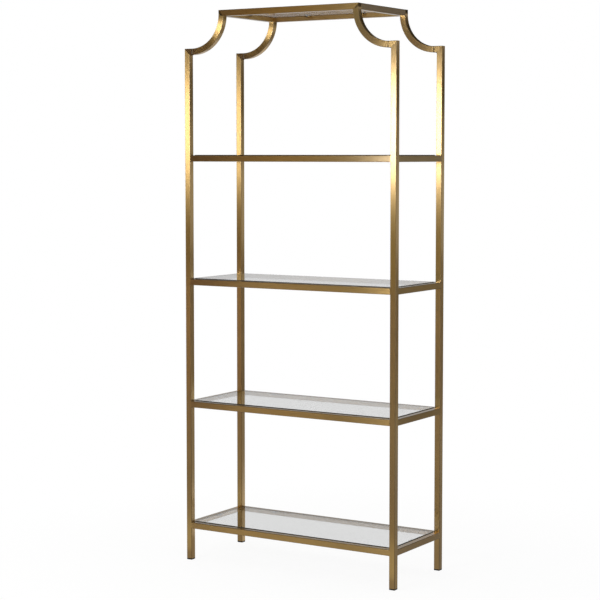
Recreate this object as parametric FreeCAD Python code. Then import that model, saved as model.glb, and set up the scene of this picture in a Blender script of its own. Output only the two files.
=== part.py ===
import FreeCAD, Part
import math
import os

# Arched etagere: four square-tube posts carry four framed glass shelves, and four
# concave quarter arches carry a smaller framed glass top.
# Millimetres. X runs along the width, Y from front to back, Z up. The origin is on
# the floor, midway between the posts.

Vector = FreeCAD.Vector

# ---- driving dimensions -----------------------------------------------------

# Frame
frame_width = 864.0          # across the outer faces of the posts
frame_depth = 350.0
post_height = 1850.0         # floor to the top of the posts
tube_side = 22.0             # one square section for every tube
tube_wall = 1.5
tube_corner_radius = 2.0
shelf_count = 4
first_shelf_rise = 116.0     # floor to the underside of the lowest rails
shelf_pitch = 444.0          # from one shelf to the next

# Arched top
top_frame_width = 570.0      # across the outer faces of the top frame
stub_reach = 9.0             # how far the mitred stub stands in from its post
arch_gap = 0.8               # reveal between a stub and its arch
arch_leg = 16.0              # straight stretch above each quarter arch

# Glass and its seats
glass_thickness = 8.0
glass_proud = 2.0            # glass above the top of the rails
glass_side_gap = 1.5         # all round, inside the rails
glass_corner_radius = 3.0
glass_arris = 1.0            # bevel along the polished edges
pad_diameter = 9.0
pad_thickness = 1.5
pad_clearance = 0.2          # between a pad and the glass lying on it
tab_length = 22.0            # along the rail
tab_reach = 15.0             # inward from the rail
tab_thickness = 3.0
tab_from_end = 150.0         # from the end of a long rail to the middle of its tab

# Plugs and screws that hold the arches on their stubs
plug_clearance = 0.5         # all round, inside the tube
plug_wall = 2.0
plug_corner_radius = 1.0
plug_into_arch = 9.0
plug_past_stub = 6.0         # beyond the inner face of the post
screw_diameter = 4.0
screw_head_diameter = 7.0
screw_head_height = 2.0
screw_head_rim = 0.5         # bevel round the head
screw_socket_width = 2.5     # across the flats of the hexagon
screw_socket_depth = 1.2
screw_hole_clearance = 0.1   # all round the shank
screw_past_plug_wall = 2.0

# Foot caps
cap_height = 5.0             # what shows below the tube
cap_bevel = 1.2
cap_insert_height = 18.0
cap_insert_clearance = 0.6   # all round, inside the tube
cap_insert_wall = 2.0
cap_fin_clearance = 0.1      # all round, from the fins to the tube
cap_fin_thickness = 1.0
cap_fin_count = 3

# ---- derived places ---------------------------------------------------------

half_width = frame_width / 2
half_depth = frame_depth / 2
half_tube = tube_side / 2
inner_half_width = half_width - tube_side
inner_half_depth = half_depth - tube_side
bore_side = tube_side - 2 * tube_wall
bore_corner_radius = max(tube_corner_radius - tube_wall, 0.2)
post_x = half_width - half_tube
post_y = half_depth - half_tube

stub_end_x = inner_half_width - stub_reach
arch_start_x = stub_end_x - arch_gap
top_half_width = top_frame_width / 2
arch_leg_x = top_half_width - half_tube
arch_radius = arch_start_x - arch_leg_x          # of the tube's centre line
arch_start_z = post_height - half_tube
arch_centre_z = arch_start_z + arch_radius
top_frame_z = arch_centre_z + arch_leg - tube_side
top_inner_half_width = top_half_width - tube_side

pad_from_rail_top = glass_thickness - glass_proud + pad_clearance
tab_from_rail_top = pad_from_rail_top + pad_thickness + tab_thickness
pad_from_rail = tab_reach - pad_diameter / 2 - glass_side_gap
plug_side = bore_side - 2 * plug_clearance
screw_x = inner_half_width - stub_reach / 2

x_axis = Vector(1, 0, 0)
y_axis = Vector(0, 1, 0)
z_axis = Vector(0, 0, 1)
origin = Vector(0, 0, 0)

sides = {"left": -1, "right": 1}
faces = {"front": -1, "back": 1}


# ---- sections and simple solids ---------------------------------------------

def rounded_square(side, radius):
    """A square wire with round corners, centred on the origin in the XY plane."""
    half = side / 2
    flat = half - radius
    middle = radius * math.sqrt(0.5)
    corners = [(1, 1), (-1, 1), (-1, -1), (1, -1)]
    edges = []
    for number, (sx, sy) in enumerate(corners):
        along_x = Vector(sx * half, sy * flat, 0)
        along_y = Vector(sx * flat, sy * half, 0)
        crown = Vector(sx * (flat + middle), sy * (flat + middle), 0)
        first, last = (along_x, along_y) if number % 2 == 0 else (along_y, along_x)
        edges.append(Part.Arc(first, crown, last).toShape())
        next_sx, next_sy = corners[(number + 1) % 4]
        if number % 2 == 0:
            following = Vector(next_sx * flat, next_sy * half, 0)
        else:
            following = Vector(next_sx * half, next_sy * flat, 0)
        edges.append(Part.LineSegment(last, following).toShape())
    return Part.Wire(edges)


def tube_section(side, wall, outer_radius, inner_radius):
    """The face of a square tube, centred on the origin in the XY plane."""
    outer = Part.Face(rounded_square(side, outer_radius))
    inner = Part.Face(rounded_square(side - 2 * wall, inner_radius))
    return outer.cut(inner).Faces[0]


def frame_section():
    return tube_section(tube_side, tube_wall, tube_corner_radius, bore_corner_radius)


def facing_x(shape):
    """Turns a section drawn in the XY plane so that it faces along X."""
    turned = shape.copy()
    turned.rotate(origin, y_axis, 90)
    return turned


def facing_y(shape):
    turned = shape.copy()
    turned.rotate(origin, x_axis, -90)
    return turned


def moved(shape, x, y, z):
    copy = shape.copy()
    copy.translate(Vector(x, y, z))
    return copy


def tube_along_x(x_from, x_to, y, z):
    section = moved(facing_x(frame_section()), x_from, y, z)
    return section.extrude(Vector(x_to - x_from, 0, 0))


def tube_along_y(y_from, y_to, x, z):
    section = moved(facing_y(frame_section()), x, y_from, z)
    return section.extrude(Vector(0, y_to - y_from, 0))


def tube_along_z(z_from, z_to, x, y):
    section = moved(frame_section(), x, y, z_from)
    return section.extrude(Vector(0, 0, z_to - z_from))


def square_bar(side, radius, z_from, z_to, x, y):
    section = moved(Part.Face(rounded_square(side, radius)), x, y, z_from)
    return section.extrude(Vector(0, 0, z_to - z_from))


def box_between(low, high):
    return Part.makeBox(high[0] - low[0], high[1] - low[1], high[2] - low[2], Vector(*low))


def mirrored(shape, side, face):
    """A shape made for the right back corner, mirrored to another corner."""
    if side < 0:
        shape = shape.mirror(origin, x_axis)
    if face < 0:
        shape = shape.mirror(origin, y_axis)
    return shape


def one_solid(shape):
    return shape.removeSplitter().Solids[0]


def mitre_wedge(corner_x, corner_z, above):
    """Half of the space, split by the plane that rises outward at 45 degrees.

    The plane passes through (corner_x, corner_z) and runs along Y. The wedge holds
    what lies above it, or below it, as far as the cuts need.
    """
    reach = post_height
    low = Vector(corner_x - reach, -frame_depth, corner_z - reach)
    high = Vector(corner_x + reach, -frame_depth, corner_z + reach)
    far = Vector(corner_x - reach, -frame_depth, corner_z + reach)
    if not above:
        far = Vector(corner_x + reach, -frame_depth, corner_z - reach)
    outline = Part.makePolygon([low, high, far, low])
    return Part.Face(outline).extrude(Vector(0, 2 * frame_depth, 0))


# ---- posts, stubs and arches, drawn for the right back corner -----------------

def post():
    tube = tube_along_z(cap_height, post_height, post_x, post_y)
    return one_solid(tube.common(mitre_wedge(inner_half_width, post_height - tube_side, False)))


def stub():
    """The short tube mitred to the head of a post, with the hole for its screw."""
    tube = tube_along_x(stub_end_x, half_width, post_y, arch_start_z)
    tube = tube.common(mitre_wedge(inner_half_width, post_height - tube_side, True))
    hole_radius = screw_diameter / 2 + screw_hole_clearance
    hole_start = Vector(screw_x, post_y, post_height - tube_side - 1)
    hole = Part.makeCylinder(hole_radius, tube_wall + 2, hole_start, z_axis)
    return one_solid(tube.cut(hole))


def arch():
    """A quarter circle of tube, level at the post and upright at the top frame."""
    start = moved(facing_x(frame_section()), arch_start_x, post_y, arch_start_z)
    centre = Vector(arch_start_x, 0, arch_centre_z)
    bend = start.revolve(centre, y_axis, 90)
    leg = tube_along_z(arch_centre_z, arch_centre_z + arch_leg, arch_leg_x, post_y)
    whole = bend.fuse(leg)
    return one_solid(whole.common(mitre_wedge(top_inner_half_width, top_frame_z, False)))


def plug():
    """The hollow square plug that joins an arch to its stub."""
    start_x = arch_start_x - plug_into_arch
    end_x = inner_half_width + plug_past_stub
    bore_radius = max(plug_corner_radius - plug_wall, 0.2)
    section = tube_section(plug_side, plug_wall, plug_corner_radius, bore_radius)
    body = moved(facing_x(section), start_x, post_y, arch_start_z)
    body = body.extrude(Vector(end_x - start_x, 0, 0))
    hole_radius = screw_diameter / 2 + screw_hole_clearance
    hole_start = Vector(screw_x, post_y, arch_start_z - plug_side / 2 - 1)
    hole = Part.makeCylinder(hole_radius, plug_wall + 2, hole_start, z_axis)
    return one_solid(body.cut(hole))


def screw():
    """A button-head screw, driven up through the stub into the plug."""
    seat_z = post_height - tube_side
    tip_z = arch_start_z - plug_side / 2 + plug_wall + screw_past_plug_wall
    head_start = Vector(screw_x, post_y, seat_z - screw_head_height)
    head = Part.makeCylinder(screw_head_diameter / 2, screw_head_height, head_start, z_axis)
    rim = [edge for edge in head.Edges if abs(edge.BoundBox.ZMax - head_start.z) < 0.01]
    head = head.makeChamfer(screw_head_rim, rim)
    shank_start = Vector(screw_x, post_y, seat_z)
    shank = Part.makeCylinder(screw_diameter / 2, tip_z - seat_z, shank_start, z_axis)
    corner_radius = screw_socket_width / math.sqrt(3)
    corners = []
    for number in range(7):
        angle = math.radians(60 * number)
        x = screw_x + corner_radius * math.cos(angle)
        y = post_y + corner_radius * math.sin(angle)
        corners.append(Vector(x, y, head_start.z))
    socket = Part.Face(Part.makePolygon(corners)).extrude(Vector(0, 0, screw_socket_depth))
    return one_solid(head.fuse(shank).cut(socket))


def foot_cap():
    """A plastic cap pushed into the foot of a post, with fins that grip the tube."""
    foot = square_bar(tube_side, tube_corner_radius, 0, cap_height, post_x, post_y)
    rim = [edge for edge in foot.Edges if edge.BoundBox.ZMax < 0.01]
    foot = foot.makeChamfer(cap_bevel, rim)
    insert_side = bore_side - 2 * cap_insert_clearance
    fin_side = bore_side - 2 * cap_fin_clearance
    top_z = cap_height + cap_insert_height
    body = square_bar(insert_side, bore_corner_radius, cap_height, top_z, post_x, post_y)
    fin_pitch = cap_insert_height / (cap_fin_count + 1)
    for number in range(cap_fin_count):
        fin_z = cap_height + fin_pitch * (number + 1)
        fin = square_bar(fin_side, bore_corner_radius, fin_z, fin_z + cap_fin_thickness, post_x, post_y)
        body = body.fuse(fin)
    hollow_side = insert_side - 2 * cap_insert_wall
    hollow = square_bar(hollow_side, bore_corner_radius, cap_height, top_z + 1, post_x, post_y)
    return one_solid(foot.fuse(body).cut(hollow))


# ---- a rectangular frame level: rails, tabs, pads and glass --------------------

def front_back_rail(face, rail_z):
    y = face * post_y
    return tube_along_x(-inner_half_width, inner_half_width, y, rail_z + half_tube)


def end_rail(x, rail_z):
    return tube_along_y(-inner_half_depth, inner_half_depth, x, rail_z + half_tube)


def top_long_rail(face):
    """The front or back rail of the top frame, mitred to the arches at both ends."""
    tube = tube_along_x(-top_half_width, top_half_width, face * post_y, top_frame_z + half_tube)
    right = mitre_wedge(top_inner_half_width, top_frame_z, True)
    left = right.mirror(origin, x_axis)
    return one_solid(tube.common(right).common(left))


def seat_places(half_x, half_y):
    """Where the tabs stand on the rails: a point on the rail and the way inward."""
    along = half_x - tab_from_end
    places = []
    for face in (-1, 1):
        for side in (-1, 1):
            places.append((side * along, face * half_y, 0, -face))
    for side in (-1, 1):
        places.append((side * half_x, 0, -side, 0))
    return places


def tabs(half_x, half_y, rail_z):
    """The small steel tabs welded inside the rails, under the glass."""
    low_z = rail_z + tube_side - tab_from_rail_top
    solids = []
    for x, y, inward_x, inward_y in seat_places(half_x, half_y):
        spread_x = 0 if inward_x else tab_length / 2
        spread_y = 0 if inward_y else tab_length / 2
        far_x = x + inward_x * tab_reach
        far_y = y + inward_y * tab_reach
        low = (min(x, far_x) - spread_x, min(y, far_y) - spread_y, low_z)
        high = (max(x, far_x) + spread_x, max(y, far_y) + spread_y, low_z + tab_thickness)
        solids.append(box_between(low, high))
    return Part.makeCompound(solids)


def pads(half_x, half_y, rail_z):
    """One clear bumper on each tab, which the glass lies on."""
    low_z = rail_z + tube_side - pad_from_rail_top - pad_thickness
    solids = []
    for x, y, inward_x, inward_y in seat_places(half_x, half_y):
        centre_x = x + inward_x * pad_from_rail
        centre_y = y + inward_y * pad_from_rail
        start = Vector(centre_x, centre_y, low_z)
        solids.append(Part.makeCylinder(pad_diameter / 2, pad_thickness, start, z_axis))
    return Part.makeCompound(solids)


def glass(half_x, half_y, rail_z):
    """A loose panel with round corners and bevelled edges, a little proud of the rails."""
    reach_x = half_x - glass_side_gap
    reach_y = half_y - glass_side_gap
    top_z = rail_z + tube_side + glass_proud
    low = (-reach_x, -reach_y, top_z - glass_thickness)
    panel = box_between(low, (reach_x, reach_y, top_z))
    corners = [edge for edge in panel.Edges if edge.BoundBox.ZLength > glass_thickness / 2]
    panel = panel.makeFillet(glass_corner_radius, corners)
    rims = [edge for edge in panel.Edges if edge.BoundBox.ZLength < 0.01]
    return one_solid(panel.makeChamfer(glass_arris, rims))


# ---- the whole piece ----------------------------------------------------------

def level_parts(name, half_x, half_y, rail_z):
    return {
        name + "_tabs": tabs(half_x, half_y, rail_z),
        name + "_pads": pads(half_x, half_y, rail_z),
        name + "_glass": glass(half_x, half_y, rail_z),
    }


def shelf_parts(number):
    name = "shelf_%d" % number
    rail_z = first_shelf_rise + shelf_pitch * (number - 1)
    parts = level_parts(name, inner_half_width, inner_half_depth, rail_z)
    for face_name, face in faces.items():
        parts["%s_%s_rail" % (name, face_name)] = front_back_rail(face, rail_z)
    for side_name, side in sides.items():
        parts["%s_%s_rail" % (name, side_name)] = end_rail(side * post_x, rail_z)
    return parts


def top_parts():
    parts = level_parts("top", top_inner_half_width, inner_half_depth, top_frame_z)
    for face_name, face in faces.items():
        parts["top_%s_rail" % face_name] = top_long_rail(face)
    for side_name, side in sides.items():
        parts["top_%s_rail" % side_name] = end_rail(side * arch_leg_x, top_frame_z)
    return parts


def corner_parts():
    shapes = {
        "post": post(),
        "post_stub": stub(),
        "arch": arch(),
        "arch_plug": plug(),
        "foot_cap": foot_cap(),
    }
    parts = {}
    screws = []
    for face_name, face in faces.items():
        for side_name, side in sides.items():
            for name, shape in shapes.items():
                node = "%s_%s_%s" % (face_name, side_name, name)
                parts[node] = mirrored(shape, side, face)
            screws.append(mirrored(screw(), side, face))
    parts["arch_screws"] = Part.makeCompound(screws)
    return parts


def all_parts():
    parts = corner_parts()
    parts.update(top_parts())
    for number in range(1, shelf_count + 1):
        parts.update(shelf_parts(number))
    return parts


os.makedirs("parts", exist_ok=True)
for node, shape in all_parts().items():
    shape.exportStep("parts/%s.step" % node)
    print("%-28s solids %d  volume %.1f  valid %s" % (node, len(shape.Solids), shape.Volume, shape.isValid()))
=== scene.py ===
import math

import bmesh
import bpy
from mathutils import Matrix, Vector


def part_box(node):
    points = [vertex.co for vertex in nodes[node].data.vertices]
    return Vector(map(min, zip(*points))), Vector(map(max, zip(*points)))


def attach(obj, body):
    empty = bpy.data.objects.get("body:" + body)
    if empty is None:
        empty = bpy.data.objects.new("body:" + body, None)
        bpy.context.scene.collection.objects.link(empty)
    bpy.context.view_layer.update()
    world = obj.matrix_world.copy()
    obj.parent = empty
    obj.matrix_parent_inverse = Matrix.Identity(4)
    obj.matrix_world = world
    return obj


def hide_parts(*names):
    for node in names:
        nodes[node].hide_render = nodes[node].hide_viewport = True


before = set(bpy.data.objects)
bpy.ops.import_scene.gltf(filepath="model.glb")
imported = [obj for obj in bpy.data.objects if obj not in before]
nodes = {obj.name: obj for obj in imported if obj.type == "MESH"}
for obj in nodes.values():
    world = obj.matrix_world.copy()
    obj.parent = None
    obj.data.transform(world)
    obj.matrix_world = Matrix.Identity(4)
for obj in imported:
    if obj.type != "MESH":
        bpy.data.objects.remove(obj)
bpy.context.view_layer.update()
scene = bpy.context.scene
scene.view_settings.view_transform = "Standard"

levels = ("shelf_1", "shelf_2", "shelf_3", "shelf_4", "top")
corners = ("front_left", "front_right", "back_left", "back_right")


def measure(node):
    # the low and the high corner of a node, in plain numbers
    return [[float(value) for value in corner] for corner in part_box(node)]


# what is built on both sides and faces is measured at the right back corner
postLow, postHigh = measure("back_right_post")
stubLow, stubHigh = measure("back_right_post_stub")
topRailLow, topRailHigh = measure("top_right_rail")
tubeSide = postHigh[0] - postLow[0]
tubeCorner = 0.002
firstRailZ = measure("shelf_1_front_rail")[0][2]
shelfPitch = measure("shelf_2_front_rail")[0][2] - firstRailZ


# camera, floor and lamps

cameraPlan = {
    "place": (3.1924, -5.1966, 1.4712),
    "turn": 31.9986,  # degrees to the left of straight ahead
    "tilt": 4.0291,  # degrees down
    "lens": 103.01,
    "shiftUp": -0.04,
}


def standCamera(plan):
    data = bpy.data.cameras.new("viewCamera")
    data.lens = plan["lens"]
    data.sensor_width = 36
    data.shift_y = plan["shiftUp"]
    data.clip_end = 100
    camera = bpy.data.objects.new("viewCamera", data)
    camera.location = plan["place"]
    camera.rotation_euler = (math.radians(90 - plan["tilt"]), 0, math.radians(plan["turn"]))
    scene.collection.objects.link(camera)
    scene.camera = camera


def addNode(tree, kind, inputs=None, **settings):
    node = tree.nodes.new(kind)
    for key, value in settings.items():
        setattr(node, key, value)
    for key, value in (inputs or {}).items():
        if isinstance(value, bpy.types.NodeSocket):
            tree.links.new(value, node.inputs[key])
        else:
            node.inputs[key].default_value = value
    return node


def blankMaterial(name):
    material = bpy.data.materials.new(name)
    material.use_nodes = True
    material.node_tree.nodes.clear()
    return material


def finishMaterial(material, shader):
    output = addNode(material.node_tree, "ShaderNodeOutputMaterial")
    material.node_tree.links.new(shader, output.inputs["Surface"])
    return material


def seesBackground(tree):
    # 1 for what looks straight at the stage, in a reflection or through glass
    rays = addNode(tree, "ShaderNodeLightPath")
    straight = addNode(tree, "ShaderNodeMath", {0: rays.outputs["Is Camera Ray"],
                                                1: rays.outputs["Is Glossy Ray"]},
                       operation="MAXIMUM")
    return addNode(tree, "ShaderNodeMath", {0: straight.outputs[0],
                                            1: rays.outputs["Is Transmission Ray"]},
                   operation="MAXIMUM").outputs[0]


floorPlan = {
    "radius": 14.0,
    "shadeInner": 0.7,  # the painted floor fades into plain white between these radii
    "shadeOuter": 1.6,
    "paint": (0.93, 0.93, 0.925, 1),
    "shine": 0.91,  # share of plain white beside the object, which leaves a faint shadow
    "grain": 60.0,
    "smooth": 0.75,
    "rough": 0.9,
    "rimSteps": 96,
}


def floorPaint(plan):
    material = blankMaterial("stageFloorPaint")
    tree = material.node_tree
    place = addNode(tree, "ShaderNodeTexCoord").outputs["Object"]
    reach = addNode(tree, "ShaderNodeVectorMath", {0: place}, operation="LENGTH")
    fade = addNode(tree, "ShaderNodeMapRange",
                   {"Value": reach.outputs["Value"], "From Min": plan["shadeInner"],
                    "From Max": plan["shadeOuter"], "To Min": plan["shine"]},
                   interpolation_type="SMOOTHSTEP")
    share = addNode(tree, "ShaderNodeMath",
                    {0: fade.outputs["Result"], 1: seesBackground(tree)}, operation="MULTIPLY")
    speckle = addNode(tree, "ShaderNodeTexNoise",
                      {"Vector": place, "Scale": plan["grain"], "Detail": 3.0})
    rough = addNode(tree, "ShaderNodeMapRange",
                    {"Value": speckle.outputs["Fac"], "To Min": plan["smooth"],
                     "To Max": plan["rough"]})
    painted = addNode(tree, "ShaderNodeBsdfPrincipled",
                      {"Base Color": plan["paint"], "Roughness": rough.outputs["Result"],
                       "Specular IOR Level": 0.1})
    white = addNode(tree, "ShaderNodeEmission", {"Color": (1, 1, 1, 1), "Strength": 1.0})
    blend = addNode(tree, "ShaderNodeMixShader",
                    {0: share.outputs[0], 1: painted.outputs[0], 2: white.outputs[0]})
    return finishMaterial(material, blend.outputs[0])


def layFloor(plan):
    count = plan["rimSteps"]
    rim = [(plan["radius"] * math.cos(2 * math.pi * i / count),
            plan["radius"] * math.sin(2 * math.pi * i / count), 0) for i in range(count)]
    mesh = bpy.data.meshes.new("stageFloor")
    mesh.from_pydata(rim, [], [list(range(count))])
    floor = bpy.data.objects.new("stageFloor", mesh)
    scene.collection.objects.link(floor)
    mesh.materials.append(floorPaint(plan))


worldLevel = {"fill": 0.85, "seen": 1.0}


def paintWorld(level):
    world = bpy.data.worlds.new("studioWorld")
    world.use_nodes = True
    tree = world.node_tree
    tree.nodes.clear()
    strength = addNode(tree, "ShaderNodeMapRange",
                       {"Value": seesBackground(tree), "To Min": level["fill"],
                        "To Max": level["seen"]})
    glow = addNode(tree, "ShaderNodeBackground",
                   {"Color": (1, 1, 1, 1), "Strength": strength.outputs["Result"]})
    output = addNode(tree, "ShaderNodeOutputWorld")
    tree.links.new(glow.outputs[0], output.inputs["Surface"])
    world.cycles.sampling_method = "NONE"
    scene.world = world


lamps = {
    "keySoftbox": {"place": (-0.54, -3.175, 1.6175), "size": (1.40, 0.485),
                   "aim": (-0.54, 0, 1.6175), "power": 45},
}


def hangLamps(plans):
    for name, plan in plans.items():
        data = bpy.data.lights.new(name, "AREA")
        data.shape = "RECTANGLE"
        data.size, data.size_y = plan["size"]
        data.energy = plan["power"]
        lamp = bpy.data.objects.new(name, data)
        scene.collection.objects.link(lamp)
        lamp.location = plan["place"]
        toward = [a - b for a, b in zip(plan["aim"], plan["place"])]
        flat = math.hypot(toward[0], toward[1])
        lamp.rotation_euler = (math.atan2(flat, -toward[2]), 0, math.atan2(-toward[0], toward[1]))
        lamp.visible_camera = False


# cards round the stage, which only the gloss of metal and glass picks up

# the rows in front are each cut in three, and the glow is given from left to right
frontCuts = (-6.8, -2.75, -2.05, 1.6)
frontRows = {
    "frontHighCard": {"start": (-3.8, 1.4), "end": (-3.8, 4.0),
                      "glows": ((0.01, 0.02, 0.05), (0.27, 0.15, 0.00), (0.28, 0.29, 0.21))},
    "frontCard": {"start": (-3.8, 0.75), "end": (-3.8, 1.4),
                  "glows": ((0.04, 0.00, 0.00), (0.00, 0.00, 0.00), (0.34, 0.28, 0.03))},
    "frontLowCard": {"start": (-3.8, 0.0), "end": (-3.8, 0.75),
                     "glows": ((0.24, 0.08, 0.09), (1.61, 1.37, 0.88), (0.20, 0.21, 0.21))},
    "frontFloorCard": {"start": (-3.8, 0.003), "end": (-0.75, 0.003),
                       "glows": ((0.26, 0.17, 0.17), (0.53, 0.41, 0.32), (0.40, 0.37, 0.33))},
}
cards = {
    "nearFloorCard": {"middle": (-1.9, -0.525, 0.003), "across": (3.2, 0, 0),
                      "up": (0, 0.225, 0), "glow": (0.71, 0.68, 0.53)},
    "underFloorCard": {"middle": (-1.9, -0.075, 0.003), "across": (3.2, 0, 0),
                       "up": (0, 0.225, 0), "glow": (0.47, 0.44, 0.40)},
    "sideTopCard": {"middle": (2.3, 2.8, 3.25), "across": (3.0, -1.85, 0), "up": (0, 0, 0.80),
                    "glow": (0.0, 0.0, 0.0)},
    "sideUpperCard": {"middle": (2.25, 2.75, 2.25), "across": (3.0, -1.85, 0), "up": (0, 0, 0.20),
                      "glow": (0.53, 0.52, 0.53)},
    "sideHigherCard": {"middle": (2.25, 2.75, 1.875), "across": (3.0, -1.85, 0),
                       "up": (0, 0, 0.175), "glow": (0.00, 0.00, 0.00)},
    "sideHighCard": {"middle": (2.25, 2.75, 1.56), "across": (3.0, -1.85, 0), "up": (0, 0, 0.14),
                     "glow": (0.34, 0.35, 0.32)},
    "sideBrightCard": {"middle": (2.25, 2.75, 1.18), "across": (3.0, -1.85, 0),
                       "up": (0, 0, 0.24), "glow": (0.62, 0.63, 0.60)},
    "sideLowCard": {"middle": (2.25, 2.75, 0.47), "across": (2.6, -1.6, 0), "up": (0, 0, 0.47),
                    "glow": (0.21, 0.19, 0.17)},
    "sideFloorCard": {"middle": (2.047, 1.3, 0.003), "across": (1.613, 0, 0), "up": (0, 1.7, 0),
                      "glow": (0.37, 0.37, 0.38)},
    "backCard": {"middle": (-2.6, 4.2, 1.3), "across": (2.6, 1.2, 0), "up": (0, 0, 1.3),
                 "glow": (0.68, 0.68, 0.68)},
    "backHighCard": {"middle": (0.0, 4.6, 4.2), "across": (5.4, 0, 0), "up": (0, 0, 1.6),
                     "glow": (0.03, 0.03, 0.03)},
    "ceilingCard": {"middle": (0.0, 1.4, 4.6), "across": (5.4, 0, 0), "up": (0, 4.2, 0),
                    "glow": (0.06, 0.06, 0.06)},
}
for name, row in frontRows.items():
    (startY, startZ), (endY, endZ) = row["start"], row["end"]
    for number, place in enumerate(("Left", "Middle", "Right")):
        left, right = frontCuts[number], frontCuts[number + 1]
        cards[name + place] = {
            "middle": ((left + right) / 2, (startY + endY) / 2, (startZ + endZ) / 2),
            "across": ((right - left) / 2, 0, 0),
            "up": (0, (endY - startY) / 2, (endZ - startZ) / 2),
            "glow": row["glows"][number],
        }


def cardPaint(name, plan):
    material = blankMaterial(name + "Paint")
    if max(plan["glow"]) < 1:  # a bright one is sampled as a lamp, which takes its grain away
        material.cycles.emission_sampling = "NONE"
    tree = material.node_tree
    glow = addNode(tree, "ShaderNodeEmission",
                   {"Color": plan["glow"] + (1.0,), "Strength": 1.0})
    return finishMaterial(material, glow.outputs[0])


def standCards(plans):
    for name, plan in plans.items():
        middle, across, up = plan["middle"], plan["across"], plan["up"]
        spots = [[m + i * a + j * u for m, a, u in zip(middle, across, up)]
                 for i, j in ((-1, -1), (1, -1), (1, 1), (-1, 1))]
        mesh = bpy.data.meshes.new(name)
        mesh.from_pydata(spots, [], [(0, 1, 2, 3)])
        card = bpy.data.objects.new(name, mesh)
        scene.collection.objects.link(card)
        mesh.materials.append(cardPaint(name, plan))
        card.visible_camera = False
        card.visible_diffuse = False
        card.visible_transmission = False
        card.visible_shadow = False


standCamera(cameraPlan)
layFloor(floorPlan)
paintWorld(worldLevel)
hangLamps(lamps)
standCards(cards)
print("stage set")


# brushed antique brass

brassLook = {
    "deep": (0.41, 0.268, 0.104, 1),
    "light": (0.49, 0.325, 0.130, 1),
    "edge": (0.17, 0.105, 0.038, 1),  # painted shade along the rounded corners
    "brushAcross": 1800.0,  # brush lines per metre across a tube
    "brushAlong": 12.0,
    "streakAcross": 240.0,
    "streakAlong": 4.0,
    "patchScale": 6.0,
    "smooth": 0.29,
    "rough": 0.32,
    "cornerRough": 0.7,
    "anisotropy": 1.0,
    "brushDepth": 0.000002,
    "brushStrength": 0.5,
    "streakShare": 0.4,  # streaks against patches in the tone of the brass
    "cornerShadeStart": 0.995,  # how squarely a rounded corner still faces out where the painted corner shade starts
    "cornerShadeFull": 0.88,
    "cornerShadeLeast": 0.55,
    "cornerShadeMost": 0.95,
    "grazing": (0.55, 0.50, 0.42, 1),
    "lacquer": 0.8,
    "lacquerRough": 0.15,
    "lacquerIor": 1.5,
}


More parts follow.
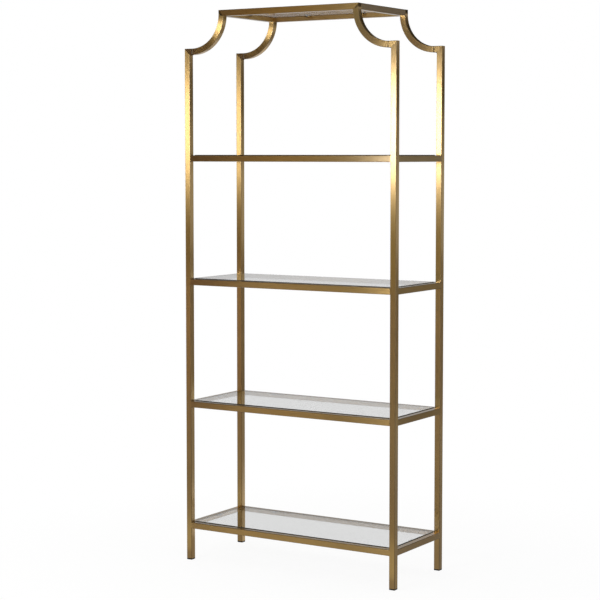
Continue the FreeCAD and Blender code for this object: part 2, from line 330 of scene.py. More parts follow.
def brushedBrass(name, look, tubeRoom):
    # tubeRoom(tree) gives a point in the tube's own room with z along the tube, the way that
    # the tube runs there, and the way that one of its flat sides faces
    material = blankMaterial(name)
    tree = material.node_tree
    spot, runs, faces = tubeRoom(tree)

    def stretched(across, along, detail):
        room = addNode(tree, "ShaderNodeMapping", {"Vector": spot, "Scale": (across, across, along)})
        return addNode(tree, "ShaderNodeTexNoise",
                       {"Vector": room.outputs[0], "Scale": 1.0, "Detail": detail}).outputs["Fac"]

    brush = stretched(look["brushAcross"], look["brushAlong"], 2.0)
    streak = stretched(look["streakAcross"], look["streakAlong"], 3.0)
    patch = stretched(look["patchScale"], look["patchScale"], 4.0)

    mixed = addNode(tree, "ShaderNodeMix", {0: look["streakShare"], 2: patch, 3: streak},
                    data_type="FLOAT")
    tone = addNode(tree, "ShaderNodeMapRange",
                   {"Value": mixed.outputs[0], "From Min": 0.36, "From Max": 0.64})
    colour = addNode(tree, "ShaderNodeMix",
                     {0: tone.outputs["Result"], 6: look["deep"], 7: look["light"]}, data_type="RGBA")

    normal = addNode(tree, "ShaderNodeNewGeometry").outputs["Normal"]
    other = addNode(tree, "ShaderNodeVectorMath", {0: runs, 1: faces}, operation="CROSS_PRODUCT")
    flatness = None
    for way in (runs, faces, other.outputs[0]):
        along = addNode(tree, "ShaderNodeVectorMath", {0: normal, 1: way}, operation="DOT_PRODUCT")
        size = addNode(tree, "ShaderNodeMath", {0: along.outputs["Value"]}, operation="ABSOLUTE")
        if flatness is None:
            flatness = size.outputs[0]
        else:
            flatness = addNode(tree, "ShaderNodeMath", {0: flatness, 1: size.outputs[0]},
                               operation="MAXIMUM").outputs[0]
    # painted shade: the rounded corners are darkened towards the edge colour, patchy along the tube;
    # the same mask also makes them rougher
    corner = addNode(tree, "ShaderNodeMapRange",
                     {"Value": flatness, "From Min": look["cornerShadeStart"],
                      "From Max": look["cornerShadeFull"]})
    kept = addNode(tree, "ShaderNodeMapRange",
                   {"Value": patch, "From Min": 0.35, "From Max": 0.65,
                    "To Min": look["cornerShadeLeast"], "To Max": look["cornerShadeMost"]})
    dark = addNode(tree, "ShaderNodeMath",
                   {0: corner.outputs["Result"], 1: kept.outputs["Result"]}, operation="MULTIPLY")
    colour = addNode(tree, "ShaderNodeMix",
                     {0: dark.outputs[0], 6: colour.outputs[2], 7: look["edge"]}, data_type="RGBA")

    rough = addNode(tree, "ShaderNodeMapRange",
                    {"Value": streak, "From Min": 0.3, "From Max": 0.7,
                     "To Min": look["smooth"], "To Max": look["rough"]})
    rough = addNode(tree, "ShaderNodeMapRange",
                    {"Value": corner.outputs["Result"], "To Min": rough.outputs["Result"],
                     "To Max": look["cornerRough"]})
    bump = addNode(tree, "ShaderNodeBump",
                   {"Height": brush, "Strength": look["brushStrength"],
                    "Distance": look["brushDepth"]})
    sweep = addNode(tree, "ShaderNodeVectorMath", {0: normal, 1: runs}, operation="CROSS_PRODUCT")
    metal = addNode(tree, "ShaderNodeBsdfPrincipled",
                    {"Base Color": colour.outputs[2], "Metallic": 1.0,
                     "Roughness": rough.outputs["Result"], "Normal": bump.outputs["Normal"],
                     "Anisotropic": look["anisotropy"], "Tangent": sweep.outputs[0],
                     "Specular Tint": look["grazing"], "Coat Weight": look["lacquer"],
                     "Coat Roughness": look["lacquerRough"], "Coat IOR": look["lacquerIor"]})
    return finishMaterial(material, metal.outputs[0])


def wayNode(tree, way):
    return addNode(tree, "ShaderNodeCombineXYZ", dict(enumerate(way))).outputs[0]


def straightTube(axis):
    # swaps the axes so that the tube runs along z of its own room
    order = {"X": (2, 1, 0), "Y": (0, 2, 1), "Z": (0, 1, 2)}[axis]
    runs = [1.0 if name == axis else 0.0 for name in "XYZ"]
    faces = (0.0, 1.0, 0.0) if axis == "X" else (1.0, 0.0, 0.0)

    def room(tree):
        place = addNode(tree, "ShaderNodeTexCoord").outputs["Object"]
        apart = addNode(tree, "ShaderNodeSeparateXYZ", {0: place})
        turned = addNode(tree, "ShaderNodeCombineXYZ",
                         {i: apart.outputs[order[i]] for i in range(3)})
        return turned.outputs[0], wayNode(tree, runs), wayNode(tree, faces)

    return room


archLow, archHigh = measure("back_right_arch")
archCentreZ = archLow[2] + archHigh[0] - archLow[0]
archPlan = {
    "startX": archHigh[0],  # the lower end, beside the stub of the post
    "legX": archLow[0] + tubeSide / 2,
    "depth": archLow[1] + tubeSide / 2,
    "centreZ": archCentreZ,
    "leg": archHigh[2] - archCentreZ,
    "mitreX": archLow[0],
    "mitreZ": archHigh[2] - tubeSide,
    "tubeSide": tubeSide,
    "cornerRadius": tubeCorner,
    "cornerSteps": 4,
    "steps": 44,
}


def archTube(tree):
    # the room of a bent tube: across it, through its depth, and along its quarter circle
    plan = archPlan
    place = addNode(tree, "ShaderNodeTexCoord").outputs["Object"]
    apart = addNode(tree, "ShaderNodeSeparateXYZ", {0: place})

    def worked(operation, first, second=0.0):
        return addNode(tree, "ShaderNodeMath", {0: first, 1: second}, operation=operation).outputs[0]

    side = worked("SIGN", apart.outputs[0])
    inward = worked("SUBTRACT", plan["startX"], worked("ABSOLUTE", apart.outputs[0]))
    above = worked("SUBTRACT", apart.outputs[2], plan["centreZ"])
    below = worked("MAXIMUM", worked("MULTIPLY", above, -1.0), 0.0)
    radius = worked("SQRT", worked("ADD", worked("MULTIPLY", inward, inward),
                                   worked("MULTIPLY", below, below)))
    angle = worked("ARCTAN2", inward, below)
    bend = plan["startX"] - plan["legX"]
    along = worked("ADD", worked("MULTIPLY", angle, bend), worked("MAXIMUM", above, 0.0))
    spot = addNode(tree, "ShaderNodeCombineXYZ",
                   {0: worked("SUBTRACT", radius, bend), 1: apart.outputs[1], 2: along})
    flat = worked("MULTIPLY", worked("DIVIDE", below, radius), worked("MULTIPLY", side, -1.0))
    runs = addNode(tree, "ShaderNodeCombineXYZ", {0: flat, 2: worked("DIVIDE", inward, radius)})
    return spot.outputs[0], runs.outputs[0], wayNode(tree, (0.0, 1.0, 0.0))


brassUpright = brushedBrass("brassUpright", brassLook, straightTube("Z"))
brassLengthwise = brushedBrass("brassLengthwise", brassLook, straightTube("X"))
brassCrosswise = brushedBrass("brassCrosswise", brassLook, straightTube("Y"))
brassBent = brushedBrass("brassBent", brassLook, archTube)


def dress(node, material):
    slots = nodes[node].material_slots
    if not slots:
        nodes[node].data.materials.append(material)
    for slot in slots:
        slot.material = material


for corner in corners:
    dress(corner + "_post", brassUpright)
    dress(corner + "_post_stub", brassLengthwise)
for level in levels:
    for side in ("front", "back"):
        dress(level + "_" + side + "_rail", brassLengthwise)
    for side in ("left", "right"):
        dress(level + "_" + side + "_rail", brassCrosswise)
print("brass on posts and rails")


# how the repeated and bent pieces are grown from Geometry Nodes

def plantTree(name, sizes):
    tree = bpy.data.node_groups.new(name, "GeometryNodeTree")
    for label, value in sizes.items():
        kind = "NodeSocketInt" if isinstance(value, int) else "NodeSocketFloat"
        tree.interface.new_socket(name=label, in_out="INPUT", socket_type=kind).default_value = value
    tree.interface.new_socket(name="Geometry", in_out="OUTPUT", socket_type="NodeSocketGeometry")
    return tree, addNode(tree, "NodeGroupInput").outputs


def worker(tree):
    def worked(operation, first, second=0.0):
        return addNode(tree, "ShaderNodeMath", {0: first, 1: second}, operation=operation).outputs[0]
    return worked


def endTree(tree, geometry, material):
    whole = addNode(tree, "GeometryNodeRealizeInstances", {"Geometry": geometry})
    painted = addNode(tree, "GeometryNodeSetMaterial",
                      {"Geometry": whole.outputs[0], "Material": material})
    output = addNode(tree, "NodeGroupOutput")
    tree.links.new(painted.outputs[0], output.inputs["Geometry"])
    return tree


def settle(piece):
    # turns what the modifiers make into the piece's own plain mesh
    graph = bpy.context.evaluated_depsgraph_get()
    mesh = bpy.data.meshes.new_from_object(piece.evaluated_get(graph), depsgraph=graph)
    piece.modifiers.clear()
    piece.data = mesh
    mesh.name = piece.name


def turnOutward(mesh):
    shape = bmesh.new()
    shape.from_mesh(mesh)
    bmesh.ops.remove_doubles(shape, verts=shape.verts, dist=0.00002)
    bmesh.ops.recalc_face_normals(shape, faces=shape.faces)
    shape.to_mesh(mesh)
    shape.free()


def grow(name, tree, sizes, bevel=0.0, smooth=False):
    piece = bpy.data.objects.new(name, bpy.data.meshes.new(name + "Seed"))
    scene.collection.objects.link(piece)
    grower = piece.modifiers.new("grower", "NODES")
    grower.node_group = tree
    for socket in tree.interface.items_tree:
        if socket.in_out == "INPUT":
            grower[socket.identifier] = sizes[socket.name]
    settle(piece)
    turnOutward(piece.data)
    if bevel:
        rim = piece.modifiers.new("rim", "BEVEL")
        rim.width = bevel
        rim.segments = 2
        rim.limit_method = "ANGLE"
        rim.angle_limit = math.radians(40)
    if smooth:
        piece.data.shade_smooth()
        even = piece.modifiers.new("even", "WEIGHTED_NORMAL")
        even.weight = 100
    if bevel or smooth:
        settle(piece)
    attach(piece, "frame")
    return piece


# bent arch tubes

def archTree(sizes):
    tree, given = plantTree("archTree", sizes)
    worked = worker(tree)
    count = worked("ADD", given["steps"], 2.0)
    line = addNode(tree, "GeometryNodeMeshLine", {"Count": count})
    index = addNode(tree, "GeometryNodeInputIndex").outputs[0]
    share = worked("MINIMUM", worked("DIVIDE", index, given["steps"]), 1.0)
    angle = worked("MULTIPLY", share, math.pi / 2)
    beyond = worked("MAXIMUM", worked("SUBTRACT", index, given["steps"]), 0.0)
    bend = worked("SUBTRACT", given["startX"], given["legX"])
    x = worked("SUBTRACT", given["startX"], worked("MULTIPLY", bend, worked("SINE", angle)))
    z = worked("SUBTRACT", given["centreZ"], worked("MULTIPLY", bend, worked("COSINE", angle)))
    z = worked("ADD", z, worked("MULTIPLY", beyond, given["leg"]))
    path = addNode(tree, "ShaderNodeCombineXYZ",
                   {0: worked("MULTIPLY", x, given["side"]),
                    1: worked("MULTIPLY", given["depth"], given["face"]), 2: z})
    placed = addNode(tree, "GeometryNodeSetPosition",
                     {"Geometry": line.outputs[0], "Position": path.outputs[0]})
    curve = addNode(tree, "GeometryNodeMeshToCurve", {"Mesh": placed.outputs[0]})
    square = addNode(tree, "GeometryNodeCurvePrimitiveQuadrilateral",
                     {"Width": given["tubeSide"], "Height": given["tubeSide"]}, mode="RECTANGLE")
    section = addNode(tree, "GeometryNodeFilletCurve",
                      {"Curve": square.outputs[0], "Radius": given["cornerRadius"],
                       "Count": given["cornerSteps"]}, mode="POLY")
    tube = addNode(tree, "GeometryNodeCurveToMesh",
                   {"Curve": curve.outputs[0], "Profile Curve": section.outputs[0],
                    "Fill Caps": True})
    # the top end is cut at 45 degrees, where the long rail of the top frame meets it
    spot = addNode(tree, "ShaderNodeSeparateXYZ",
                   {0: addNode(tree, "GeometryNodeInputPosition").outputs[0]})
    outward = worked("SUBTRACT", worked("ABSOLUTE", spot.outputs[0]), given["mitreX"])
    height = worked("MINIMUM", spot.outputs[2], worked("ADD", given["mitreZ"], outward))
    cut = addNode(tree, "ShaderNodeCombineXYZ",
                  {0: spot.outputs[0], 1: spot.outputs[1], 2: height})
    mitred = addNode(tree, "GeometryNodeSetPosition",
                     {"Geometry": tube.outputs[0], "Position": cut.outputs[0]})
    joined = addNode(tree, "GeometryNodeMergeByDistance",
                     {"Geometry": mitred.outputs[0], "Distance": 0.00005})
    return endTree(tree, joined.outputs[0], brassBent)


archSizes = dict(archPlan, side=1.0, face=1.0)
archTubeTree = archTree(archSizes)
for corner in corners:
    sizes = dict(archSizes, side=-1.0 if "left" in corner else 1.0,
                 face=-1.0 if "front" in corner else 1.0)
    tube = grow(corner + "_arch_tube", archTubeTree, sizes, smooth=True)
    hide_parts(corner + "_arch")
print("arch tubes bent")


# tabs and bumpers under the glass

seatPlan = {
    "fromEnd": 0.150,  # from the end of a long rail to the middle of its tab
    "tabLength": 0.022,
    "tabReach": 0.015,
    "tabThickness": 0.003,
    "tabCorner": 0.003,
    "tabCornerSteps": 5,
    "bumperRadius": 0.0045,
    "bumperHeight": 0.0015,
    "bumperIn": 0.009,  # from the rail to the middle of the bumper
}


def seatPoints(tree, given, inset):
    # four points along the front and back rails and two on the end rails
    worked = worker(tree)
    alongX = worked("MULTIPLY", worked("SUBTRACT", given["halfX"], given["fromEnd"]), 2.0)
    alongY = worked("MULTIPLY", worked("SUBTRACT", given["halfY"], inset), 2.0)
    four = addNode(tree, "GeometryNodeMeshGrid",
                   {"Size X": alongX, "Size Y": alongY, "Vertices X": 2, "Vertices Y": 2})
    reach = worked("SUBTRACT", given["halfX"], inset)
    start = addNode(tree, "ShaderNodeCombineXYZ", {0: worked("MULTIPLY", reach, -1.0)})
    step = addNode(tree, "ShaderNodeCombineXYZ", {0: worked("MULTIPLY", reach, 2.0)})
    two = addNode(tree, "GeometryNodeMeshLine",
                  {"Count": 2, "Start Location": start.outputs[0], "Offset": step.outputs[0]})
    return four.outputs[0], two.outputs[0]


def standOn(tree, points, shape, turn=None):
    inputs = {"Points": points, "Instance": shape}
    if turn is not None:
        inputs["Rotation"] = addNode(tree, "ShaderNodeCombineXYZ", {2: turn}).outputs[0]
    return addNode(tree, "GeometryNodeInstanceOnPoints", inputs).outputs[0]


def joinAll(tree, parts):
    together = addNode(tree, "GeometryNodeJoinGeometry")
    for part in parts:
        tree.links.new(part, together.inputs[0])
    return together.outputs[0]


def lifted(tree, geometry, height):
    shift = addNode(tree, "ShaderNodeCombineXYZ", {2: height})
    return addNode(tree, "GeometryNodeTransform",
                   {"Geometry": geometry, "Translation": shift.outputs[0]}).outputs[0]


def raised(tree, face, steps):
    # a flat face raised step by step, each (rise, share of the width kept), closed below
    worked = worker(tree)
    under = addNode(tree, "GeometryNodeFlipFaces", {"Mesh": face})
    shape, top = face, None
    for rise, share in steps:
        offset = addNode(tree, "ShaderNodeCombineXYZ", {2: rise})
        inputs = {"Mesh": shape, "Offset": offset.outputs[0], "Offset Scale": 1.0,
                  "Individual": False}
        if top is not None:
            inputs["Selection"] = top
        pushed = addNode(tree, "GeometryNodeExtrudeMesh", inputs, mode="FACES")
        scaled = addNode(tree, "GeometryNodeScaleElements",
                         {"Geometry": pushed.outputs["Mesh"], "Selection": pushed.outputs["Top"],
                          "Scale": share}, domain="FACE")
        shape, top = scaled.outputs[0], pushed.outputs["Top"]
    both = joinAll(tree, (shape, under.outputs[0]))
    return addNode(tree, "GeometryNodeMergeByDistance",
                   {"Geometry": both, "Distance": 0.00001}).outputs[0]


def tabTree(sizes):
    tree, given = plantTree("tabTree", sizes)
    worked = worker(tree)
    outline = addNode(tree, "GeometryNodeCurvePrimitiveQuadrilateral",
                      {"Width": given["tabLength"], "Height": given["tabReach"]}, mode="RECTANGLE")
    spot = addNode(tree, "ShaderNodeSeparateXYZ",
                   {0: addNode(tree, "GeometryNodeInputPosition").outputs[0]})
    free = worked("MULTIPLY", worked("GREATER_THAN", spot.outputs[1], 0.0), given["tabCorner"])
    rounded = addNode(tree, "GeometryNodeFilletCurve",
                      {"Curve": outline.outputs[0], "Radius": free,
                       "Count": given["tabCornerSteps"]}, mode="POLY")
    face = addNode(tree, "GeometryNodeFillCurve", {"Curve": rounded.outputs[0]}, mode="NGONS")
    inward = addNode(tree, "ShaderNodeCombineXYZ", {1: worked("MULTIPLY", given["tabReach"], 0.5)})
    placed = addNode(tree, "GeometryNodeTransform",
                     {"Geometry": face.outputs[0], "Translation": inward.outputs[0]})
    tab = raised(tree, placed.outputs[0], [(given["tabThickness"], 1.0)])
    four, two = seatPoints(tree, given, 0.0)
    turnFour = worked("MULTIPLY", worked("GREATER_THAN", spot.outputs[1], 0.0), math.pi)
    turnTwo = worked("MULTIPLY", worked("SIGN", spot.outputs[0]), math.pi / 2)
    seats = joinAll(tree, (standOn(tree, four, tab, turnFour), standOn(tree, two, tab, turnTwo)))
    return endTree(tree, lifted(tree, seats, given["tabZ"]), brassCrosswise)


def bumperTree(sizes, material):
    tree, given = plantTree("bumperTree", sizes)
    worked = worker(tree)
    disc = addNode(tree, "GeometryNodeMeshCircle",
                   {"Vertices": 28, "Radius": given["bumperRadius"]}, fill_type="NGON")
    dome = [(worked("MULTIPLY", given["bumperHeight"], rise), share)
            for rise, share in ((0.50, 1.0), (0.22, 0.94), (0.16, 0.86), (0.09, 0.72), (0.03, 0.45))]
    bumper = raised(tree, disc.outputs[0], dome)
    four, two = seatPoints(tree, given, given["bumperIn"])
    seats = joinAll(tree, (standOn(tree, four, bumper), standOn(tree, two, bumper)))
    return endTree(tree, lifted(tree, seats, given["bumperZ"]), material)


# moulded and plain finishes of the small pieces

smallLooks = {
    "capPlastic": {"dark": (0.010, 0.010, 0.010, 1), "pale": (0.018, 0.017, 0.016, 1), "metal": 0.0,
                   "smooth": 0.42, "rough": 0.58, "grain": 1600.0, "depth": 0.00005, "gloss": 0.08},
    "millSteel": {"dark": (0.36, 0.35, 0.34, 1), "pale": (0.50, 0.49, 0.48, 1), "metal": 1.0,
                  "smooth": 0.32, "rough": 0.50, "grain": 500.0, "depth": 0.00002, "gloss": 0.5},
    "blackedSteel": {"dark": (0.055, 0.045, 0.036, 1), "pale": (0.12, 0.10, 0.075, 1), "metal": 1.0,
                     "smooth": 0.30, "rough": 0.46, "grain": 900.0, "depth": 0.00002, "gloss": 0.5},
}


def grainedFinish(name, look):
    material = blankMaterial(name)
    tree = material.node_tree
    place = addNode(tree, "ShaderNodeTexCoord").outputs["Object"]
    cloud = addNode(tree, "ShaderNodeTexNoise", {"Vector": place, "Scale": 45.0, "Detail": 4.0})
    grain = addNode(tree, "ShaderNodeTexNoise",
                    {"Vector": place, "Scale": look["grain"], "Detail": 2.0})
    tone = addNode(tree, "ShaderNodeMapRange",
                   {"Value": cloud.outputs["Fac"], "From Min": 0.35, "From Max": 0.65})
    colour = addNode(tree, "ShaderNodeMix",
                     {0: tone.outputs["Result"], 6: look["dark"], 7: look["pale"]}, data_type="RGBA")
    rough = addNode(tree, "ShaderNodeMapRange",
                    {"Value": grain.outputs["Fac"], "From Min": 0.3, "From Max": 0.7,
                     "To Min": look["smooth"], "To Max": look["rough"]})
    bump = addNode(tree, "ShaderNodeBump",
                   {"Height": grain.outputs["Fac"], "Strength": 0.6, "Distance": look["depth"]})
    skin = addNode(tree, "ShaderNodeBsdfPrincipled",
                   {"Base Color": colour.outputs[2], "Metallic": look["metal"],
                    "Roughness": rough.outputs["Result"], "Normal": bump.outputs["Normal"],
                    "Specular IOR Level": look["gloss"]})
    return finishMaterial(material, skin.outputs[0])


bumperLook = {"dark": (0.26, 0.26, 0.25, 1), "pale": (0.36, 0.36, 0.35, 1), "ior": 1.42}


def softBumper(look):
    material = blankMaterial("softBumper")
    tree = material.node_tree
    place = addNode(tree, "ShaderNodeTexCoord").outputs["Object"]
    cloud = addNode(tree, "ShaderNodeTexNoise", {"Vector": place, "Scale": 350.0, "Detail": 3.0})
    colour = addNode(tree, "ShaderNodeMix",
                     {0: cloud.outputs["Fac"], 6: look["dark"], 7: look["pale"]}, data_type="RGBA")
    rough = addNode(tree, "ShaderNodeMapRange",
                    {"Value": cloud.outputs["Fac"], "To Min": 0.25, "To Max": 0.45})
    skin = addNode(tree, "ShaderNodeBsdfPrincipled",
                   {"Base Color": colour.outputs[2], "Roughness": rough.outputs["Result"],
                    "IOR": look["ior"], "Transmission Weight": 0.3})
    return finishMaterial(material, skin.outputs[0])


capPlastic = grainedFinish("capPlastic", smallLooks["capPlastic"])
millSteel = grainedFinish("millSteel", smallLooks["millSteel"])
blackedSteel = grainedFinish("blackedSteel", smallLooks["blackedSteel"])
bumperSkin = softBumper(bumperLook)

for corner in corners:
    dress(corner + "_foot_cap", capPlastic)
    dress(corner + "_arch_plug", millSteel)



def seatSizes(level):
    tabLow, tabHigh = measure(level + "_tabs")
    bumperZ = measure(level + "_pads")[0][2]
    return dict(seatPlan, halfX=tabHigh[0], halfY=tabHigh[1], tabZ=tabLow[2], bumperZ=bumperZ)


tabTreeAll = tabTree(seatSizes(levels[0]))
bumperTreeAll = bumperTree(seatSizes(levels[0]), bumperSkin)
for level in levels:
    sizes = seatSizes(level)
    tab = grow(level + "_seat_tabs", tabTreeAll, sizes, bevel=0.0004)
    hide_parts(level + "_tabs")
    bumper = grow(level + "_bumpers", bumperTreeAll, sizes, smooth=True)
    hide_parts(level + "_pads")
print("tabs and bumpers seated")


# screws under the stubs, which hold the arches

screwPlan = {
    "reachX": (stubLow[0] + postLow[0]) / 2,
    "reachY": (stubLow[1] + stubHigh[1]) / 2,
    "seatZ": stubLow[2],
    "headRadius": 0.0035,
    "headHeight": 0.002,
    "shankRadius": 0.002,
    "shankLength": 0.006,
    "socketWidth": 0.0025,  # across the flats
    "socketDepth": 0.0012,
}


def screwTree(sizes, material):
    tree, given = plantTree("screwTree", sizes)
    worked = worker(tree)
    disc = addNode(tree, "GeometryNodeMeshCircle",
                   {"Vertices": 32, "Radius": given["headRadius"]}, fill_type="NGON")
    dome = [(worked("MULTIPLY", given["headHeight"], -rise), share)
            for rise, share in ((0.45, 1.0), (0.25, 0.95), (0.20, 0.85), (0.10, 0.80))]
    head = raised(tree, disc.outputs[0], dome)
    hexagon = addNode(tree, "GeometryNodeMeshCylinder",
                      {"Vertices": 6, "Radius": worked("DIVIDE", given["socketWidth"], math.sqrt(3)),
                       "Depth": worked("MULTIPLY", given["socketDepth"], 2.0)})
    socket = lifted(tree, hexagon.outputs[0], worked("MULTIPLY", given["headHeight"], -1.0))
    cut = addNode(tree, "GeometryNodeMeshBoolean", operation="DIFFERENCE")
    tree.links.new(head, cut.inputs[0])
    tree.links.new(socket, cut.inputs[1])
    shank = addNode(tree, "GeometryNodeMeshCylinder",
                    {"Vertices": 24, "Radius": given["shankRadius"], "Depth": given["shankLength"]})
    shank = lifted(tree, shank.outputs[0], worked("MULTIPLY", given["shankLength"], 0.5))
    points = addNode(tree, "GeometryNodeMeshGrid",
                     {"Size X": worked("MULTIPLY", given["reachX"], 2.0),
                      "Size Y": worked("MULTIPLY", given["reachY"], 2.0),
                      "Vertices X": 2, "Vertices Y": 2})
    screws = standOn(tree, points.outputs[0], joinAll(tree, (cut.outputs[0], shank)))
    return endTree(tree, lifted(tree, screws, given["seatZ"]), material)


screws = grow("arch_screw_set", screwTree(screwPlan, blackedSteel), screwPlan)
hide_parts("arch_screws")
print("screws driven")


# weld metal, ground flush, that fills the grooves beside the rounded corners of the posts

weldPlan = {
    "radius": tubeCorner,
    "height": 0.0192,  # a little less than the rails
    "steps": 6,
}


def weldTree(sizes):
    tree, given = plantTree("weldTree", sizes)
    worked = worker(tree)
    pie = addNode(tree, "GeometryNodeCurveArc",
                  {"Resolution": given["steps"], "Radius": given["radius"], "Start Angle": 0.0,
                   "Sweep Angle": math.pi / 2, "Connect Center": True})
    face = addNode(tree, "GeometryNodeFillCurve", {"Curve": pie.outputs[0]}, mode="NGONS")
    fill = raised(tree, face.outputs[0], [(given["height"], 1.0)])
    count = worked("MAXIMUM", given["count"], 1.0)
    rise = addNode(tree, "ShaderNodeCombineXYZ", {2: given["pitch"]})
    floors = addNode(tree, "GeometryNodeMeshLine", {"Count": count, "Offset": rise.outputs[0]})
    posts = addNode(tree, "GeometryNodeMeshGrid",
                    {"Size X": worked("MULTIPLY", given["reachX"], 2.0),
                     "Size Y": worked("MULTIPLY", given["reachY"], 2.0),
                     "Vertices X": 2, "Vertices Y": 2})
    spot = addNode(tree, "ShaderNodeSeparateXYZ",
                   {0: addNode(tree, "GeometryNodeInputPosition").outputs[0]})
    wayX = worked("MULTIPLY", worked("SIGN", spot.outputs[0]), given["wayX"])
    wayY = worked("MULTIPLY", worked("SIGN", spot.outputs[1]), given["wayY"])
    turn = worked("SUBTRACT", worked("ARCTAN2", wayY, wayX), math.pi / 4)
    ring = standOn(tree, posts.outputs[0], fill, turn)
    stack = standOn(tree, floors.outputs[0], ring)
    return endTree(tree, lifted(tree, stack, given["lowZ"]), brassUpright)


weldShort = (tubeSide - weldPlan["height"]) / 2
weldRows = {
    # reach of the corners, which way the fill turns from there, lowest rail and rows upward
    "rail_face_welds": {"reachX": postLow[0], "reachY": postHigh[1], "wayX": 1.0, "wayY": -1.0,
                        "lowZ": firstRailZ + weldShort, "pitch": shelfPitch, "count": 4},
    "rail_side_welds": {"reachX": postHigh[0], "reachY": postLow[1], "wayX": -1.0, "wayY": 1.0,
                        "lowZ": firstRailZ + weldShort, "pitch": shelfPitch, "count": 4},
    "top_side_welds": {"reachX": topRailHigh[0], "reachY": postLow[1], "wayX": -1.0, "wayY": 1.0,
                       "lowZ": topRailLow[2] + weldShort, "pitch": shelfPitch, "count": 1},
}
weldSizes = dict(weldPlan, **weldRows["rail_face_welds"])
weldTreeAll = weldTree(weldSizes)
for name, row in weldRows.items():
    grow(name, weldTreeAll, dict(weldPlan, **row))
print("welds ground flush")


# glass

glassLook = {
    "tint": (0.725, 0.729, 0.728, 1),
    "shadow": (0.975, 0.98, 0.978, 1),
    "ior": 1.5,
    "smear": 0.02,
    # painted shade: the near-black colours of the pane edges
    "edgeDark": (0.05, 0.047, 0.042, 1),
    "edgePale": (0.08, 0.075, 0.066, 1),
    "upperPaneEdgeShade": (0.020, 0.018, 0.014, 1),  # painted shade: the edges of the upper panes are darker
    "highFrom": 1.1,
    "highTo": 1.4,
}

panePlan = {
    "corner": 0.003,
    "arris": 0.001,
    "cornerSteps": 8,
}


def shelfGlass(look):
    material = blankMaterial("shelfGlass")
    tree = material.node_tree
    place = addNode(tree, "ShaderNodeTexCoord").outputs["Object"]
    smear = addNode(tree, "ShaderNodeTexNoise", {"Vector": place, "Scale": 5.0, "Detail": 5.0})
    rough = addNode(tree, "ShaderNodeMapRange",
                    {"Value": smear.outputs["Fac"], "From Min": 0.5, "From Max": 0.75,
                     "To Min": 0.0, "To Max": look["smear"]})
    glass = addNode(tree, "ShaderNodeBsdfPrincipled",
                    {"Base Color": look["tint"], "Roughness": rough.outputs["Result"],
                     "IOR": look["ior"], "Transmission Weight": 1.0})
    clear = addNode(tree, "ShaderNodeBsdfTransparent", {"Color": look["shadow"]})
    rays = addNode(tree, "ShaderNodeLightPath")
    blend = addNode(tree, "ShaderNodeMixShader",
                    {0: rays.outputs["Is Shadow Ray"], 1: glass.outputs[0], 2: clear.outputs[0]})
    return finishMaterial(material, blend.outputs[0])


def polishedEdge(look):
    # painted shade: the edge of the glass is painted near black for the dark line along it
    material = blankMaterial("polishedEdge")
    tree = material.node_tree
    place = addNode(tree, "ShaderNodeTexCoord").outputs["Object"]
    ripple = addNode(tree, "ShaderNodeTexNoise", {"Vector": place, "Scale": 30.0, "Detail": 4.0})
    colour = addNode(tree, "ShaderNodeMix",
                     {0: ripple.outputs["Fac"], 6: look["edgeDark"], 7: look["edgePale"]},
                     data_type="RGBA")
    apart = addNode(tree, "ShaderNodeSeparateXYZ", {0: place})
    # painted shade: the edges get darker between these heights, so the upper panes' edges are darkest
    high = addNode(tree, "ShaderNodeMapRange",
                   {"Value": apart.outputs[2], "From Min": look["highFrom"],
                    "From Max": look["highTo"]})
    colour = addNode(tree, "ShaderNodeMix",
                     {0: high.outputs["Result"], 6: colour.outputs[2], 7: look["upperPaneEdgeShade"]},
                     data_type="RGBA")
    rough = addNode(tree, "ShaderNodeMapRange",
                    {"Value": ripple.outputs["Fac"], "To Min": 0.08, "To Max": 0.22})
    edge = addNode(tree, "ShaderNodeBsdfPrincipled",
                   {"Base Color": colour.outputs[2], "Roughness": rough.outputs["Result"],
                    "IOR": look["ior"]})
    return finishMaterial(material, edge.outputs[0])


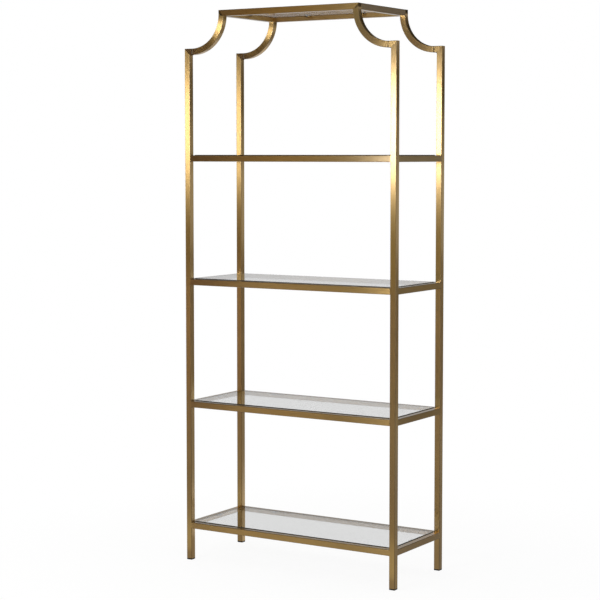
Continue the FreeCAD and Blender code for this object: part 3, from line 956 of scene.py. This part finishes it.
def roundedRing(low, high, z, inset, plan):
    radius = plan["corner"] - inset if plan["corner"] > inset else 0.0005
    steps = plan["cornerSteps"]
    ring = []
    for number in range(4):
        signX = (1, -1, -1, 1)[number]
        signY = (1, 1, -1, -1)[number]
        cornerX = (high[0] if signX > 0 else low[0]) - signX * (inset + radius)
        cornerY = (high[1] if signY > 0 else low[1]) - signY * (inset + radius)
        for step in range(steps + 1):
            angle = math.pi / 2 * (number + step / steps)
            ring.append((cornerX + radius * math.cos(angle), cornerY + radius * math.sin(angle), z))
    return ring


def cutPane(name, low, high, plan, faceMaterial, edgeMaterial):
    rings = [roundedRing(low, high, low[2], plan["arris"], plan),
             roundedRing(low, high, low[2] + plan["arris"], 0.0, plan),
             roundedRing(low, high, high[2] - plan["arris"], 0.0, plan),
             roundedRing(low, high, high[2], plan["arris"], plan)]
    count = len(rings[0])
    spots = [spot for ring in rings for spot in ring]
    sheets = [list(reversed(range(count))), list(range(3 * count, 4 * count))]
    sides = []
    for row in range(3):
        for i in range(count):
            j = (i + 1) % count
            sides.append((row * count + i, row * count + j,
                          (row + 1) * count + j, (row + 1) * count + i))
    mesh = bpy.data.meshes.new(name)
    mesh.from_pydata(spots, [], sheets + sides)
    mesh.materials.append(faceMaterial)
    mesh.materials.append(edgeMaterial)
    for number, face in enumerate(mesh.polygons):
        face.material_index = 0 if number < 2 else 1
    pane = bpy.data.objects.new(name, mesh)
    scene.collection.objects.link(pane)
    return pane


def spareFromLamp(pieces, lamp):
    # the lamp leaves no white patch on these
    spared = bpy.data.collections.new(lamp + "Spares")
    for piece in pieces:
        spared.objects.link(piece)
    for entry in spared.collection_objects:
        entry.light_linking.link_state = "EXCLUDE"
    bpy.data.objects[lamp].light_linking.receiver_collection = spared


paneFace = shelfGlass(glassLook)
paneEdge = polishedEdge(glassLook)
panes = []
for level in levels:
    low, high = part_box(level + "_glass")
    pane = cutPane(level + "_glass_pane", low, high, panePlan, paneFace, paneEdge)
    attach(pane, level + "_panel")
    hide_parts(level + "_glass")
    panes.append(pane)
spareFromLamp(panes, "keySoftbox")
print("glass panes cut")
